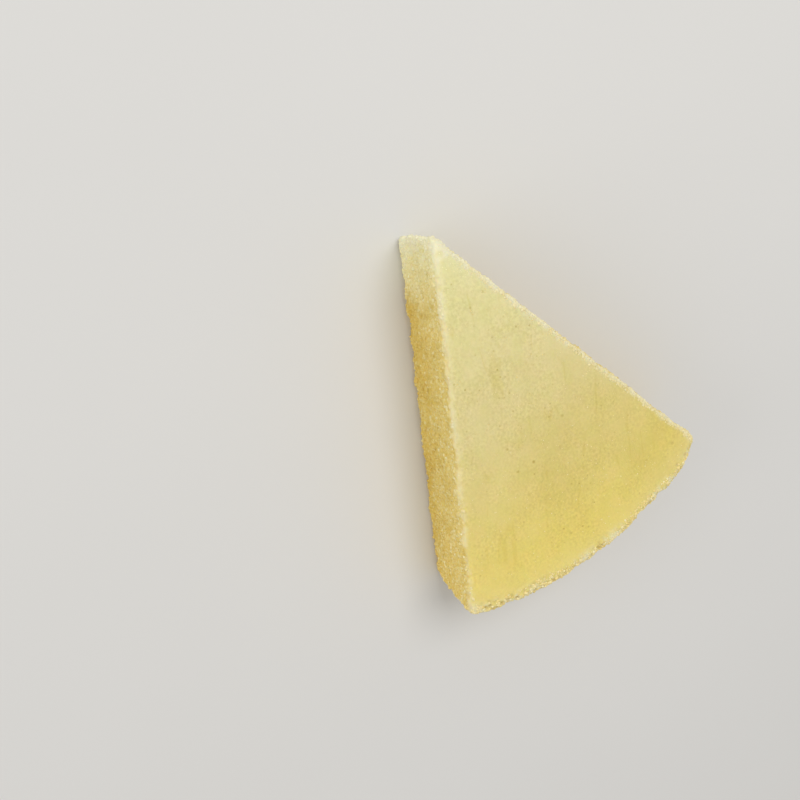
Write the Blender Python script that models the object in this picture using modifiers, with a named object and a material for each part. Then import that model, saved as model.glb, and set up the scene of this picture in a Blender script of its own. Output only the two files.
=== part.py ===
"""A slice of steamed millet cake, lying flat on its base.

The cake was steamed in a round mould and cut through its middle, so the slice is a sector:
two straight cuts that meet at the tip, and one curved outer side that leans in at its foot.
Metres, +Z up. +X runs from the tip to the outer side along the middle of the slice.
"""

import math

import bmesh
import bpy
from mathutils import Vector, noise

# Driving dimensions of the slice.
CAKE_RADIUS = 0.1058
SLICE_ANGLE = math.radians(47.8)
CAKE_HEIGHT = 0.0265
FOOT_INSET = 0.0018

# Rounding of its edges, as widths of the bevels. The cut at +Y has the more worn rim.
TIP_ROUND = 0.0008
CORNER_ROUND = 0.0003
WORN_RIM_ROUND = 0.0023
CRISP_RIM_ROUND = 0.0013
OUTER_RIM_ROUND = 0.0007
CUT_FOOT_ROUND = 0.0006
OUTER_FOOT_ROUND = 0.0016
ROUND_SEGMENTS = 4

# Relief of the crumb, each as a height, the width of its waves and the seed of its noise.
SWELL_HEIGHT, SWELL_WIDTH, SWELL_SEED = 0.0005, 0.034, 5.9
CRUMB_HEIGHT, CRUMB_WIDTH, CRUMB_SEED = 0.0004, 0.0030, 3.1
LUMP_WIDTH, LUMP_SEED = 0.0060, 9.7
CRAG_HEIGHT, CRAG_WIDTH, CRAG_SEED = 0.0008, 0.0048, 17.3
RAGGED_FOOT_SHARE = 0.8
CORNER_CALM = 0.7
SIDE_SKIN = 0.0016

# Nicks along the outer rim, and the chip at one of its corners.
NICK_DEPTH, NICK_WIDTH, NICK_SEED = 0.0022, 0.0046, 23.5
NICK_LEVEL = 0.18
NICK_REACH = 0.0036
NICK_DROP = 0.4
CHIP_DEPTH = 0.0022
CHIP_REACH = 0.0085

# The mesh: arc steps of the outline, the grid that the relief is worked on, and what is kept.
ARC_STEPS = 20
GRID_SIZE = 0.00135
KEPT_TRIANGLES = 9000
FLAT_SNAP = 0.00045
WELD_GAP = 0.00001
ANGLE_GAP = 0.001
FLAT_ANGLE = math.radians(0.3)

CRUMB_COLOUR = (0.80, 0.70, 0.33, 1.0)
CRUMB_ROUGHNESS = 0.72

HALF_ANGLE = SLICE_ANGLE / 2.0
UP = Vector((0.0, 0.0, 1.0))


def clear_scene():
    for obj in list(bpy.data.objects):
        bpy.data.objects.remove(obj, do_unlink=True)


def new_collection(name):
    collection = bpy.data.collections.new(name)
    bpy.context.scene.collection.children.link(collection)
    return collection


def crumb_material():
    material = bpy.data.materials.new("steamed_millet_crumb")
    material.use_nodes = True
    shader = material.node_tree.nodes["Principled BSDF"]
    shader.inputs["Base Color"].default_value = CRUMB_COLOUR
    shader.inputs["Roughness"].default_value = CRUMB_ROUGHNESS
    shader.inputs["Metallic"].default_value = 0.0
    return material


def sector_outline():
    """The top's outline, with the tip at the origin and the outer side as an arc of equal steps."""
    points = [(0.0, 0.0)]
    for step in range(ARC_STEPS + 1):
        angle = -HALF_ANGLE + SLICE_ANGLE * step / ARC_STEPS
        points.append((CAKE_RADIUS * math.cos(angle), CAKE_RADIUS * math.sin(angle)))
    return points


def extruded_sector(collection):
    """The outline as a filled 2D curve, extruded to the cake's height and made a welded mesh."""
    outline = sector_outline()
    curve = bpy.data.curves.new("slice_outline", "CURVE")
    curve.dimensions = "2D"
    curve.fill_mode = "BOTH"
    curve.extrude = CAKE_HEIGHT / 2.0
    spline = curve.splines.new("POLY")
    spline.points.add(len(outline) - 1)
    for point, (x, y) in zip(spline.points, outline):
        point.co = (x, y, 0.0, 1.0)
    spline.use_cyclic_u = True
    guide = bpy.data.objects.new("slice_outline", curve)
    guide.location.z = CAKE_HEIGHT / 2.0
    collection.objects.link(guide)
    mesh = evaluated_mesh(guide)
    mesh.transform(guide.matrix_world)
    bpy.data.objects.remove(guide, do_unlink=True)
    weld(mesh)
    merge_flat_faces(mesh)
    return mesh


def evaluated_mesh(obj):
    """A new mesh of the object with its modifiers applied."""
    bpy.context.view_layer.update()
    graph = bpy.context.evaluated_depsgraph_get()
    return bpy.data.meshes.new_from_object(obj.evaluated_get(graph), depsgraph=graph)


def weld(mesh):
    work = bmesh.new()
    work.from_mesh(mesh)
    bmesh.ops.remove_doubles(work, verts=work.verts, dist=WELD_GAP)
    bmesh.ops.recalc_face_normals(work, faces=work.faces)
    work.to_mesh(mesh)
    work.free()


def merge_flat_faces(mesh):
    """Makes the top and the base one face each, so that only the real edges are left to bevel."""
    work = bmesh.new()
    work.from_mesh(mesh)
    bmesh.ops.dissolve_limit(work, angle_limit=FLAT_ANGLE, verts=work.verts, edges=work.edges)
    work.to_mesh(mesh)
    work.free()


def lean_outer_side(mesh):
    """Draws the base in towards the tip, which leans the outer side and keeps both cuts upright."""
    share = (CAKE_RADIUS - FOOT_INSET) / CAKE_RADIUS
    for vertex in mesh.vertices:
        if vertex.co.z < CAKE_HEIGHT / 2.0:
            vertex.co.x *= share
            vertex.co.y *= share


def edge_round(start, end):
    """The bevel width of the edge between two corners of the sector, or 0 between the arc's steps."""
    middle = (start + end) / 2.0
    upright = abs(start.z - end.z) > CAKE_HEIGHT / 2.0
    if upright and middle.xy.length < TIP_ROUND:
        return TIP_ROUND
    if upright:
        at_corner = abs(abs(math.atan2(start.y, start.x)) - HALF_ANGLE) < ANGLE_GAP
        return CORNER_ROUND if at_corner else 0.0
    on_cut = (end - start).length > CAKE_RADIUS / 2.0
    if middle.z < CAKE_HEIGHT / 2.0:
        return CUT_FOOT_ROUND if on_cut else OUTER_FOOT_ROUND
    if on_cut:
        return WORN_RIM_ROUND if middle.y > 0.0 else CRISP_RIM_ROUND
    return OUTER_RIM_ROUND


def round_edges(obj):
    """Bevels every edge by its own width, held as a share of the widest one."""
    widest = max(WORN_RIM_ROUND, OUTER_FOOT_ROUND)
    mesh = obj.data
    weights = mesh.attributes.new("bevel_weight_edge", "FLOAT", "EDGE")
    for edge in mesh.edges:
        start, end = (mesh.vertices[index].co for index in edge.vertices)
        weights.data[edge.index].value = edge_round(start, end) / widest
    bevel = obj.modifiers.new("rounded_edges", "BEVEL")
    bevel.limit_method = "WEIGHT"
    bevel.offset_type = "OFFSET"
    bevel.width = widest
    bevel.segments = ROUND_SEGMENTS


def even_grid(obj):
    remesh = obj.modifiers.new("even_grid", "REMESH")
    remesh.mode = "VOXEL"
    remesh.voxel_size = GRID_SIZE


def fade(distance, reach):
    """1 at no distance, falling smoothly to 0 at the reach."""
    share = max(0.0, min(1.0, 1.0 - distance / reach))
    return share * share * (3.0 - 2.0 * share)


def waves(point, width, seed):
    """Smooth noise from about -1 to 1, with waves of the given width."""
    return noise.noise(point / width + Vector((seed, seed, seed)))


def outer_radius(height):
    return CAKE_RADIUS - FOOT_INSET * (1.0 - height / CAKE_HEIGHT)


def relief(point, normal):
    """How far the crumb moves a point of the smooth slice.

    Every side is lumpy, more so near the foot and less at the outer corners, and the outer side
    has larger crags as well. The top swells a little. The outer rim has nicks, and its corner
    at +Y is chipped.
    """
    radius = point.xy.length
    angle = math.atan2(point.y, point.x)
    cut_gap = radius * math.sin(max(0.0, HALF_ANGLE - abs(angle)))
    outer_gap = outer_radius(point.z) - radius
    top_gap = CAKE_HEIGHT - point.z
    on_cut = fade(cut_gap, SIDE_SKIN)
    on_outer = fade(outer_gap, SIDE_SKIN)
    on_side = max(on_cut, on_outer)
    calm = 1.0 - CORNER_CALM * on_cut * on_outer

    height = CRUMB_HEIGHT * (1.0 + RAGGED_FOOT_SHARE * fade(point.z, CAKE_HEIGHT / 2.0))
    lumps = height * (waves(point, CRUMB_WIDTH, CRUMB_SEED) + waves(point, LUMP_WIDTH, LUMP_SEED))
    crags = CRAG_HEIGHT * waves(point, CRAG_WIDTH, CRAG_SEED)
    move = normal * (lumps * on_side + crags * on_outer) * calm

    swell = SWELL_HEIGHT * waves(point, SWELL_WIDTH, SWELL_SEED)
    move += UP * swell * fade(top_gap, CAKE_HEIGHT)

    inward = Vector((-math.cos(angle), -math.sin(angle), 0.0))
    rim = fade(top_gap, NICK_REACH) * fade(outer_gap, NICK_REACH)
    nick = max(0.0, waves(point, NICK_WIDTH, NICK_SEED) - NICK_LEVEL)
    move += (inward - UP * NICK_DROP) * NICK_DEPTH * nick * rim

    corner = Vector((math.cos(HALF_ANGLE), math.sin(HALF_ANGLE), 0.0)) * CAKE_RADIUS
    chip = fade((point.xy - corner.xy).length, CHIP_REACH) * fade(top_gap, CHIP_REACH * 2.0)
    move += inward * CHIP_DEPTH * chip
    return move


def roughen(mesh):
    """Adds the relief and leaves the base flat, so that the slice rests on it."""
    moves = [relief(vertex.co, vertex.normal) for vertex in mesh.vertices]
    for vertex, move in zip(mesh.vertices, moves):
        on_base = vertex.co.z < FLAT_SNAP
        vertex.co += move
        if on_base:
            vertex.co.z = 0.0


def thin_out(obj):
    """Leaves most triangles where the crumb is rough and few on the flat base."""
    triangles = sum(len(face.vertices) - 2 for face in obj.data.polygons)
    decimate = obj.modifiers.new("thin_out", "DECIMATE")
    decimate.decimate_type = "COLLAPSE"
    decimate.ratio = min(1.0, KEPT_TRIANGLES / triangles)
    decimate.use_collapse_triangulate = True


def apply_modifiers(obj):
    result = evaluated_mesh(obj)
    obj.modifiers.clear()
    obj.data = result


def settle(mesh):
    """Flattens the base and puts the origin under the middle of the slice."""
    for vertex in mesh.vertices:
        if vertex.co.z < WELD_GAP:
            vertex.co.z = 0.0
    xs = [vertex.co.x for vertex in mesh.vertices]
    ys = [vertex.co.y for vertex in mesh.vertices]
    for vertex in mesh.vertices:
        vertex.co.x -= (min(xs) + max(xs)) / 2.0
        vertex.co.y -= (min(ys) + max(ys)) / 2.0


def cake_slice(collection):
    obj = bpy.data.objects.new("cake_slice", extruded_sector(collection))
    collection.objects.link(obj)
    lean_outer_side(obj.data)
    round_edges(obj)
    even_grid(obj)
    apply_modifiers(obj)
    roughen(obj.data)
    thin_out(obj)
    apply_modifiers(obj)
    settle(obj.data)
    obj.data.name = "cake_slice"
    obj.data.materials.clear()
    obj.data.materials.append(crumb_material())
    obj.data.shade_smooth()
    return obj


def main():
    clear_scene()
    cake_slice(new_collection("steamed_millet_cake"))


main()
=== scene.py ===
"""A slice of steamed millet cake on a pale table.

The slice lies flat with its tip towards -X. Its smooth top has a fine, sandy skin. The two cuts
and the curved outer side show the open crumb: rounded grains with pores between them.
Lengths are in metres, in the frame of the measured solid.
"""

import math
from collections import namedtuple
from itertools import product

import bmesh
import bpy
import numpy as np
from bpy.props import FloatProperty, FloatVectorProperty, IntProperty, PointerProperty
from mathutils import Matrix, Quaternion, Vector


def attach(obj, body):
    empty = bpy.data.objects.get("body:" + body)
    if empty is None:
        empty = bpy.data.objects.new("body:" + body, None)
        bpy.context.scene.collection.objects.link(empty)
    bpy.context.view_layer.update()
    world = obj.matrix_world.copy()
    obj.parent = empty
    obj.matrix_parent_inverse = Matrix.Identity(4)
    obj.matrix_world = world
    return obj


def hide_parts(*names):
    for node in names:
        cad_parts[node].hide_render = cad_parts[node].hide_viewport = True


bl_info = {
    "name": "Steamed Millet Cake Slice",
    "version": (1, 0, 0),
    "blender": (4, 5, 0),
    "location": "View3D > Sidebar > Millet Cake",
    "description": "Adds a slice of steamed millet cake with its grains and crumbs, and a table",
    "category": "Add Mesh",
}

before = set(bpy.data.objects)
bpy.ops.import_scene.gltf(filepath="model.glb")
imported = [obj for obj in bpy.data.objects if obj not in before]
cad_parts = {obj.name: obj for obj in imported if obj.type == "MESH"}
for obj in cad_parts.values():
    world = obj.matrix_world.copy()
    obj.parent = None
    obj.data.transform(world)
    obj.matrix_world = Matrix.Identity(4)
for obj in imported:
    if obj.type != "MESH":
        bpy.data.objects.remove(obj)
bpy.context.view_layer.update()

SOLID_NODE = "cake_slice"
SLICE_NAME = "millet_cake_slice"
BODY = "root"

# The slice's own sizes, as its solid has them. The apex is where its two cuts would meet.
APEX = np.array((-0.05329, 0.00025, 0.0))
CAKE_RADIUS = 0.1058
CAKE_HEIGHT = 0.0265
FOOT_INSET = 0.0018
HALF_ANGLE = math.radians(23.9)

# Names of the values that the mesh carries for its material.
SIDE_SHARE = "side_share"
# How much painted shade the crumb's hollows get.
HOLLOW_SHADE = "hollow"
RIM_WEAR_AND_HIGHLIGHT = "rim_wear"
GRAIN_TONE = "grain_tone"
PIT_SHADE = "pit"
BASE_SHARE = "base_share"
SKIN_SHADE = "skin_shade"
OUTER_PALLOR = "outer_pallor"


class CrumbSizes(bpy.types.PropertyGroup):
    skin_grid: FloatProperty(
        name="Skin grid", description="Mesh spacing over the top skin, halved over the open crumb",
        default=0.0008, unit="LENGTH", precision=5)
    lump_size: FloatProperty(
        name="Lump size", description="Width of the soft lumps in the crumb",
        default=0.0030, unit="LENGTH", precision=5)
    lump_height: FloatProperty(
        name="Lump height", description="Height of the soft lumps",
        default=0.00022, unit="LENGTH", precision=5)
    grain_size: FloatProperty(
        name="Grain size", description="Spacing of the larger grains",
        default=0.0015, unit="LENGTH", precision=5)
    grain_height: FloatProperty(
        name="Grain height", description="How far the larger grains stand out",
        default=0.00038, unit="LENGTH", precision=5)
    fine_size: FloatProperty(
        name="Fine grain size", description="Spacing of the finer grains",
        default=0.0009, unit="LENGTH", precision=5)
    fine_height: FloatProperty(
        name="Fine grain height", description="How far the finer grains stand out",
        default=0.00020, unit="LENGTH", precision=5)
    pore_depth: FloatProperty(
        name="Pore depth", description="Depth of the pores between grains",
        default=0.0003, unit="LENGTH", precision=5)
    skin_height: FloatProperty(
        name="Skin relief", description="Height of the fine waves in the top skin",
        default=0.00004, unit="LENGTH", precision=5)
    # The pale band is partly wear and partly painted highlight.
    wear_and_highlight_rim: FloatProperty(
        name="Worn rim", description="Width of the pale band along the cut at +Y",
        default=0.0024, unit="LENGTH", precision=5)
    crisp_rim: FloatProperty(
        name="Crisp rim", description="Width of the pale line along the cut at -Y",
        default=0.0019, unit="LENGTH", precision=5)
    outer_rim: FloatProperty(
        name="Outer rim", description="Width of the crumbly band along the outer side",
        default=0.0028, unit="LENGTH", precision=5)
    bite_size: FloatProperty(
        name="Bite size", description="Width of the small bites in the outer rim",
        default=0.0024, unit="LENGTH", precision=5)
    bite_depth: FloatProperty(
        name="Bite depth", description="Depth of the small bites in the outer rim",
        default=0.0011, unit="LENGTH", precision=5)
    side_grains: IntProperty(
        name="Side grains", description="Most grains that stand out of the sides",
        default=9600)
    rim_crumbs: IntProperty(
        name="Rim crumbs", description="Most crumbs on the outer rim and the worn rim",
        default=2300)
    skin_grains: IntProperty(
        name="Skin grains", description="Most tiny grains on the top and its rims",
        default=2600)


class CrumbColours(bpy.types.PropertyGroup):
    tip_skin: FloatVectorProperty(
        name="Tip skin", description="Pale top skin near the tip",
        default=(0.80, 0.745, 0.37), subtype="COLOR")
    middle_skin: FloatVectorProperty(
        name="Middle skin", description="Top skin in the middle",
        default=(0.77, 0.665, 0.315), subtype="COLOR")
    outer_skin: FloatVectorProperty(
        name="Outer skin", description="Yellower skin at the outer side",
        default=(0.835, 0.675, 0.160), subtype="COLOR")
    crumb: FloatVectorProperty(
        name="Open crumb", description="Colour of the cut crumb",
        default=(0.835, 0.645, 0.190), subtype="COLOR")
    # The tip colours are partly the crumb's own paler tone and partly painted light.
    tip_crumb_and_light: FloatVectorProperty(
        name="Crumb at the tip", description="Paler cut crumb near the tip",
        default=(0.96, 0.90, 0.47), subtype="COLOR")
    tip_grain_and_light: FloatVectorProperty(
        name="Grains at the tip", description="Palest grains near the tip",
        default=(1.0, 0.97, 0.68), subtype="COLOR")
    # Painted shade, deep between the grains.
    pore_shade: FloatVectorProperty(
        name="Pore tint", description="Darkening deep between the grains",
        default=(0.86, 0.80, 0.60), subtype="COLOR")
    # The whitish colour of the rims: partly wear, partly painted highlight where the rounded edges
    # catch the light.
    worn_and_lit: FloatVectorProperty(
        name="Worn edges", description="Whitish crumb along the rounded edges",
        default=(0.91, 0.865, 0.61), subtype="COLOR")
    # Painted shade in the pits of the outer rim.
    pit: FloatVectorProperty(
        name="Pits", description="Brown shade in the small pits of the outer rim",
        default=(0.58, 0.45, 0.15), subtype="COLOR")
    grain: FloatVectorProperty(
        name="Grains", description="Pale single grains",
        default=(0.93, 0.85, 0.48), subtype="COLOR")


class TableSettings(bpy.types.PropertyGroup):
    table_colour: FloatVectorProperty(
        name="Table", description="Colour of the table top",
        default=(0.74, 0.73, 0.71), subtype="COLOR")
    camera_place: FloatVectorProperty(
        name="Camera place", description="Where the camera stands",
        default=(-0.09365, -0.06084, 0.21200), subtype="TRANSLATION", unit="LENGTH", precision=5)
    camera_aim: FloatVectorProperty(
        name="Camera aim", description="The point that the camera looks at",
        default=(-0.02242, -0.02798, 0.0265), subtype="TRANSLATION", unit="LENGTH", precision=5)
    camera_roll: FloatProperty(
        name="Camera roll", description="Turn of the camera about its line of sight",
        default=math.radians(-122.01), subtype="ANGLE")
    lens: FloatProperty(
        name="Lens", description="Focal length of the camera",
        default=36.0, unit="CAMERA")
    key_power: FloatProperty(
        name="Key light", description="Power of the large overhead light",
        default=3.4, unit="POWER")
    fill_power: FloatProperty(
        name="Fill light", description="Power of the soft side light",
        default=2.2, unit="POWER")
    sky_strength: FloatProperty(
        name="Room light", description="Strength of the room's even light",
        default=0.54)


def sizes():
    return bpy.context.scene.millet_crumb_sizes


def colours():
    return bpy.context.scene.millet_crumb_colours


def table_settings():
    return bpy.context.scene.millet_table_settings


def add_object(name, data):
    obj = bpy.data.objects.new(name, data)
    bpy.context.scene.collection.objects.link(obj)
    return obj


def apply_modifiers(obj):
    bpy.context.view_layer.update()
    graph = bpy.context.evaluated_depsgraph_get()
    result = bpy.data.meshes.new_from_object(obj.evaluated_get(graph), depsgraph=graph)
    obj.modifiers.clear()
    obj.data = result


def read_vectors(items, field):
    values = np.empty(len(items) * 3, np.float32)
    items.foreach_get(field, values)
    return values.reshape(-1, 3).astype(float)


def set_vertex_places(mesh, places):
    mesh.vertices.foreach_set("co", places.astype(np.float32).ravel())
    mesh.update()


def store_value(mesh, name, values):
    """Keeps one number per vertex for the material."""
    layer = mesh.attributes.new(name, "FLOAT", "POINT")
    layer.data.foreach_set("value", values.astype(np.float32))


def fade(distance, reach):
    """1 at no distance, falling smoothly to 0 at the reach."""
    share = np.clip(1.0 - distance / reach, 0.0, 1.0)
    return share * share * (3.0 - 2.0 * share)


def rise(values, low, high):
    """0 below the low value, rising smoothly to 1 at the high value."""
    return 1.0 - fade(values - low, high - low)


# These stir a cell's place into random numbers.
CELL_FACTORS = (73856093, 19349663, 83492791)
SEED_FACTOR = 2654435761
TURN_FACTOR = 1274126177
TURN_STEP = 40503
STIR_SHIFT = 13
NUMBER_SHIFT = 9
KEPT_BITS = 0x7FFFFFFFFFFF
NUMBER_BITS = 0xFFFF


def cell_numbers(cells, seed, count):
    """Even random numbers from 0 to 1 for whole-number cells, the same on every run."""
    mixed = seed * SEED_FACTOR
    for axis, factor in enumerate(CELL_FACTORS):
        mixed = mixed ^ (cells[:, axis].astype(np.int64) * factor)
    numbers = []
    for turn in range(count):
        mixed = (mixed ^ (mixed >> STIR_SHIFT)) * TURN_FACTOR + turn * TURN_STEP
        mixed = mixed & KEPT_BITS
        numbers.append(((mixed >> NUMBER_SHIFT) & NUMBER_BITS) / NUMBER_BITS)
    return np.stack(numbers, 1)


def nearest_grain(points, width, seed):
    """Distance to the nearest of many scattered grains, in widths, and that grain's own number."""
    scaled = points / width
    home = np.floor(scaled)
    nearest = np.full(len(points), np.inf)
    own = np.zeros(len(points))
    for step in product((-1, 0, 1), repeat=3):
        cell = home + step
        numbers = cell_numbers(cell, seed, 4)
        gap = np.linalg.norm(cell + numbers[:, :3] - scaled, axis=1)
        closer = gap < nearest
        nearest = np.where(closer, gap, nearest)
        own = np.where(closer, numbers[:, 3], own)
    return nearest, own


def smooth_noise(points, width, seed):
    """Soft waves from -1 to 1, blended between random values at the corners of cells."""
    scaled = points / width
    home = np.floor(scaled)
    part = fade(1.0 - (scaled - home), 1.0)
    total = np.zeros(len(points))
    for corner in product((0, 1), repeat=3):
        weight = np.where(corner, part, 1.0 - part).prod(axis=1)
        total += weight * cell_numbers(home + corner, seed, 1)[:, 0]
    return total * 2.0 - 1.0


def uneven(places, middle, waves):
    """A value that waves about its middle. Each wave has a strength, a width and a seed."""
    total = np.full(len(places), middle)
    for strength, width, seed in waves:
        total += strength * smooth_noise(places, width, seed)
    return total


class SliceGaps:
    """Distances of points from the slice's own faces, counted inwards."""

    def __init__(self, places):
        local = places - APEX
        self.radius = np.hypot(local[:, 0], local[:, 1])
        self.angle = np.arctan2(local[:, 1], local[:, 0])
        self.pale_rim_half = self.angle > 0.0
        self.cut = self.radius * np.sin(np.clip(HALF_ANGLE - np.abs(self.angle), 0.0, None))
        lean = FOOT_INSET * (1.0 - places[:, 2] / CAKE_HEIGHT)
        self.outer = CAKE_RADIUS - lean - self.radius
        self.top = CAKE_HEIGHT - places[:, 2]
        self.foot = places[:, 2]

    def by_half(self, worn_and_lit, crisp):
        """One value in the half at +Y, whose rim has the wide band of wear and painted highlight,
        and one in the half at -Y.
        """
        return np.where(self.pale_rim_half, worn_and_lit, crisp)


WELD_GAP = 0.000001
# What gets the finer grid: steep faces, and a band this many outer rims wide.
STEEP_NORMAL = 0.80
FINE_GRID_BAND = 1.6


def welded_solid():
    """A copy of the measured solid as one closed mesh."""
    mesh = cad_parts[SOLID_NODE].data.copy()
    work = bmesh.new()
    work.from_mesh(mesh)
    bmesh.ops.remove_doubles(work, verts=work.verts, dist=WELD_GAP)
    work.to_mesh(mesh)
    work.free()
    mesh.materials.clear()
    return mesh


def needs_fine_grid(face):
    local = face.calc_center_median() - Vector(APEX)
    at_rim = local.xy.length > CAKE_RADIUS - FINE_GRID_BAND * sizes().outer_rim
    return abs(face.normal.z) < STEEP_NORMAL or (face.normal.z > 0 and at_rim)


def split_side_faces(mesh):
    """Halves the grid over the open crumb, where the grains need it."""
    work = bmesh.new()
    work.from_mesh(mesh)
    work.normal_update()
    fine = [face for face in work.faces if needs_fine_grid(face)]
    edges = list({edge for face in fine for edge in face.edges})
    bmesh.ops.subdivide_edges(work, edges=edges, cuts=1, use_grid_fill=True)
    work.to_mesh(mesh)
    work.free()


# Rounded grains of the crumb: the seed, the reach in spacings, the height of the lowest, how
# much higher others are, and the level between them.
Domes = namedtuple("Domes", "seed reach lowest spread level")
LARGE_DOMES = Domes(11, 0.95, 0.55, 0.45, 0.35)
FINE_DOMES = Domes(23, 0.90, 0.40, 0.60, 0.30)
LUMP_SEED = 71
# Pores, dimples and pits: the seed, the reach in spacings and how rare they are.
Holes = namedtuple("Holes", "seed reach rarity")
CRUMB_PORES = Holes(37, 0.45, 0.6)
SKIN_DIMPLES = Holes(51, 0.35, 0.7)
RIM_PITS = Holes(29, 0.62, 0.15)
GRAINS_PER_PORE = 1.7
# How deep a level place counts, and what domes take off and pores add, for the painted shade in the
# crumb's hollows.
LEVEL_HOLLOW = 0.42
LARGE_DOME_HOLLOW = 0.6
FINE_DOME_HOLLOW = 0.35
PORE_HOLLOW = 0.8


def dome_heights(places, spacing, kind):
    near, own = nearest_grain(places, spacing, kind.seed)
    return fade(near, kind.reach) * (kind.lowest + kind.spread * own)


def holes(places, spacing, kind):
    near, own = nearest_grain(places, spacing, kind.seed)
    return fade(near, kind.reach) * (own > kind.rarity)


def crumb_relief(places):
    """Height of the open crumb at each place, and how much painted shade its hollows get there,
    from 0 to 1.
    """
    size = sizes()
    large = dome_heights(places, size.grain_size, LARGE_DOMES)
    small = dome_heights(places, size.fine_size, FINE_DOMES)
    pores = holes(places, size.grain_size * GRAINS_PER_PORE, CRUMB_PORES)
    height = (
        size.lump_height * smooth_noise(places, size.lump_size, LUMP_SEED)
        + size.grain_height * (large - LARGE_DOMES.level)
        + size.fine_height * (small - FINE_DOMES.level)
        - size.pore_depth * pores
    )
    hollow = LEVEL_HOLLOW - LARGE_DOME_HOLLOW * large - FINE_DOME_HOLLOW * small
    return height, np.clip(hollow + PORE_HOLLOW * pores, 0.0, 1.0)


SKIN_WAVES = ((1.0, 0.0045, 5), (1.0, 0.0016, 6))
DIMPLE_SPACING = 0.0013
DIMPLE_DEPTH = 0.8


def skin_relief(places):
    """Height of the sandy top skin."""
    dimples = DIMPLE_DEPTH * holes(places, DIMPLE_SPACING, SKIN_DIMPLES)
    return sizes().skin_height * (uneven(places, 0.0, SKIN_WAVES) - dimples)


WEAR_WAVES = ((0.30, 0.0070, 81), (0.55, 0.0013, 82))
# Strength of the pale line along the crisp rim, a painted highlight where the edge catches the
# light: at the apex, and what it loses outwards.
CRISP_HIGHLIGHT = 0.68
CRISP_HIGHLIGHT_LOSS = 0.12
# How far down the side a rim's pale band of wear and painted highlight reaches, in its widths, and
# how it falls off.
WEAR_DROP = 1.3
WEAR_FALL = 0.8
# The other pale places, wear with painted light: their strength, their reach and how far down from
# the top they go.
WearAndLight = namedtuple("WearAndLight", "strength reach depth")
TIP_EDGE = WearAndLight(0.8, 0.0080, None)
TIP_HAZE = WearAndLight(0.15, 0.0260, None)
CORNER = WearAndLight(0.30, 0.0036, 0.0060)
RIM_HAZE = WearAndLight(0.16, 0.0075, 0.0040)


def wear_and_highlight_share(places, gaps):
    """Pale wear with painted highlight where the edges catch the light: wide on the rim at +Y and
    its outer corner, faint on the rim at -Y and the tip.
    """
    size = sizes()
    waver = uneven(places, 1.0, WEAR_WAVES)
    width = gaps.by_half(size.wear_and_highlight_rim, size.crisp_rim) * waver
    strength = gaps.by_half(1.0, CRISP_HIGHLIGHT - CRISP_HIGHLIGHT_LOSS * gaps.radius / CAKE_RADIUS)
    rim = strength * fade(gaps.cut, width) * fade(gaps.top, WEAR_DROP * width) ** WEAR_FALL
    edge = TIP_EDGE.strength * fade(gaps.radius, TIP_EDGE.reach * waver)
    tip = TIP_HAZE.strength * fade(gaps.radius, TIP_HAZE.reach)
    corner = CORNER.strength * fade(np.hypot(gaps.outer, gaps.cut), CORNER.reach * waver)
    corner = corner * gaps.pale_rim_half * fade(gaps.top, CORNER.depth)
    haze = RIM_HAZE.strength * fade(gaps.cut, RIM_HAZE.reach) * gaps.pale_rim_half
    haze = haze * fade(gaps.top, RIM_HAZE.depth) * fade(gaps.radius, CAKE_RADIUS)
    return np.clip(np.maximum(rim, corner) + edge + tip + haze, 0.0, 1.0)


PALLOR_WAVES = ((1.1, 0.0052, 83), (0.7, 0.0011, 84))
# The whitish band: its middle in from the outer side, its reach, depth and patches.
PALLOR_MIDDLE = 0.0012
PALLOR_REACH = 0.0038
PALLOR_DEPTH = 0.0030
PALLOR_PATCH = 0.20
PALLOR_MOST = 0.9
# The paler skin beside the band.
SKIN_PALLOR = 0.26
SKIN_PALLOR_REACH = 0.0140


def outer_pallor(places, gaps):
    """Whitish patches in the band along the outer rim, and how far the skin beside them pales."""
    band = fade(np.abs(gaps.outer - PALLOR_MIDDLE), PALLOR_REACH) * fade(gaps.top, PALLOR_DEPTH)
    patches = np.clip(uneven(places, PALLOR_PATCH, PALLOR_WAVES), 0.0, PALLOR_MOST)
    beside = SKIN_PALLOR * fade(gaps.outer, SKIN_PALLOR_REACH) * (gaps.top < PALLOR_DEPTH)
    return np.clip(band * patches + beside, 0.0, 1.0)


PIT_WAVES = ((1.2, 0.0070, 86),)
PIT_SPACING = 0.0016
PIT_STRENGTH = 1.3
# How crowded the pits are in the middle of their waves, and the band that they lie in.
PIT_CROWD = 0.70
PIT_BAND_MIDDLE = 0.0014
PIT_BAND_REACH = 0.0030
PIT_BAND_DEPTH = 0.0030


def rim_pits(places, gaps):
    """Small deep pits in the band along the outer rim."""
    band = fade(np.abs(gaps.outer - PIT_BAND_MIDDLE), PIT_BAND_REACH) * (gaps.top < PIT_BAND_DEPTH)
    crowded = np.clip(uneven(places, PIT_CROWD, PIT_WAVES), 0.0, 1.0)
    pits = PIT_STRENGTH * holes(places, PIT_SPACING, RIM_PITS)
    return np.clip(pits * np.sqrt(band) * crowded, 0.0, 1.0)


SHADE_WAVES = ((0.25, 0.012, 85),)
# The darker belt: the radii of its start and end, and the angles over which its end fades out
# and the belt itself sets in, towards +Y.
BELT_START = (0.050, 0.067)
BELT_END = (0.079, 0.092)
END_ANGLES = (0.08, 0.28)
BELT_ANGLES = (-0.26, -0.02)
BELT_END_LOSS = 0.75
BELT_LEAST = 0.25
BELT_GAIN = 0.75
SHADE_MOST = 1.2


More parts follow.
